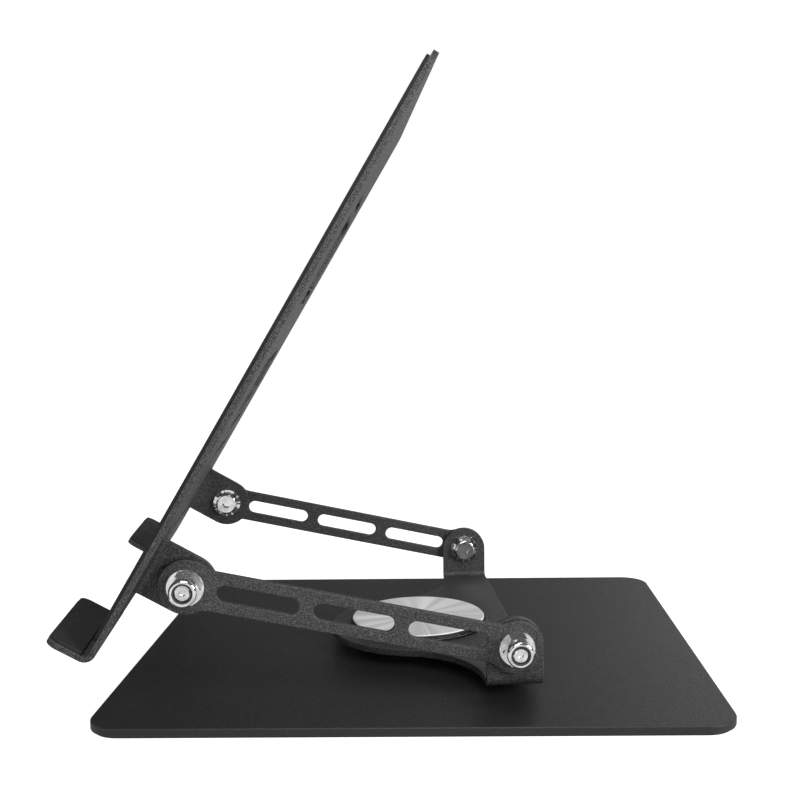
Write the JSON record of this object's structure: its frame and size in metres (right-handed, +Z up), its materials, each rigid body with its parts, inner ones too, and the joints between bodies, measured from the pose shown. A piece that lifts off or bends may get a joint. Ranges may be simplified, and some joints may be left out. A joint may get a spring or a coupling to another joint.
{
  "type": "laptop stand",
  "caption": "Swivelling steel laptop stand: flat base, turning bracket, slotted arms on friction pivots and a vented tray with padded front hooks.",
  "frame": {"origin": "on the swivel axis at the desk, in the middle of the mat's underside", "axes": "+Z up along the swivel axis, +Y to the back of the base (away from the user), +X to the user's right"},
  "size_m": [0.2115, 0.2557, 0.2307],
  "materials": {
    "powder_coat": "fine-textured black powder coat",
    "silicone": "smooth matt black silicone",
    "rubber_mat": "matt black rubber",
    "spun_aluminium": "turned face with a radial sunburst sheen",
    "chrome": "bright plated fasteners",
    "steel": "zinc-plated steel",
    "nylon": "black nylon"
  },
  "bodies": {
    "base": {"anti_slip_mat": "rubber_mat", "base_plate": "powder_coat", "swivel_pivot": "steel", "swivel_spacer": "steel", "lower_glide_ring": "nylon", "retaining_washer": "steel"},
    "turntable": {"swivel_bracket": "powder_coat", "turntable_disc": "spun_aluminium", "upper_glide_ring": "nylon", "lower_pivot_bolts": "chrome", "lower_flange_nuts": "chrome", "lower_inner_washers": "chrome", "lower_glide_washers": "nylon", "lower_lock_inserts": "nylon"},
    "arms": {"right_arm": "powder_coat", "left_arm": "powder_coat"},
    "tray": {"tray_plate": "powder_coat", "tray_pad": "silicone", "right_hook_pad": "silicone", "left_hook_pad": "silicone", "upper_pivot_bolts": "chrome", "upper_flange_nuts": "chrome", "upper_inner_washers": "chrome", "upper_glide_washers": "nylon", "upper_lock_inserts": "nylon"}
  },
  "joints": [
    {"name": "swivel", "type": "hinge", "parent": "base", "child": "turntable", "pos_m": [0, 0, 0.006], "axis": [0, 0, 1], "continuous": true},
    {"name": "arm_lift", "type": "hinge", "parent": "turntable", "child": "arms", "pos_m": [-0.00321, 0.02912, 0.0245], "axis": [-0.994, -0.1097, 0], "range_deg": [-6, 45]},
    {"name": "tray_tilt", "type": "hinge", "parent": "arms", "child": "tray", "pos_m": [0.00962, -0.0871, 0.05149], "axis": [0.994, 0.1097, 0], "range_deg": [-55, 18]}
  ]
}
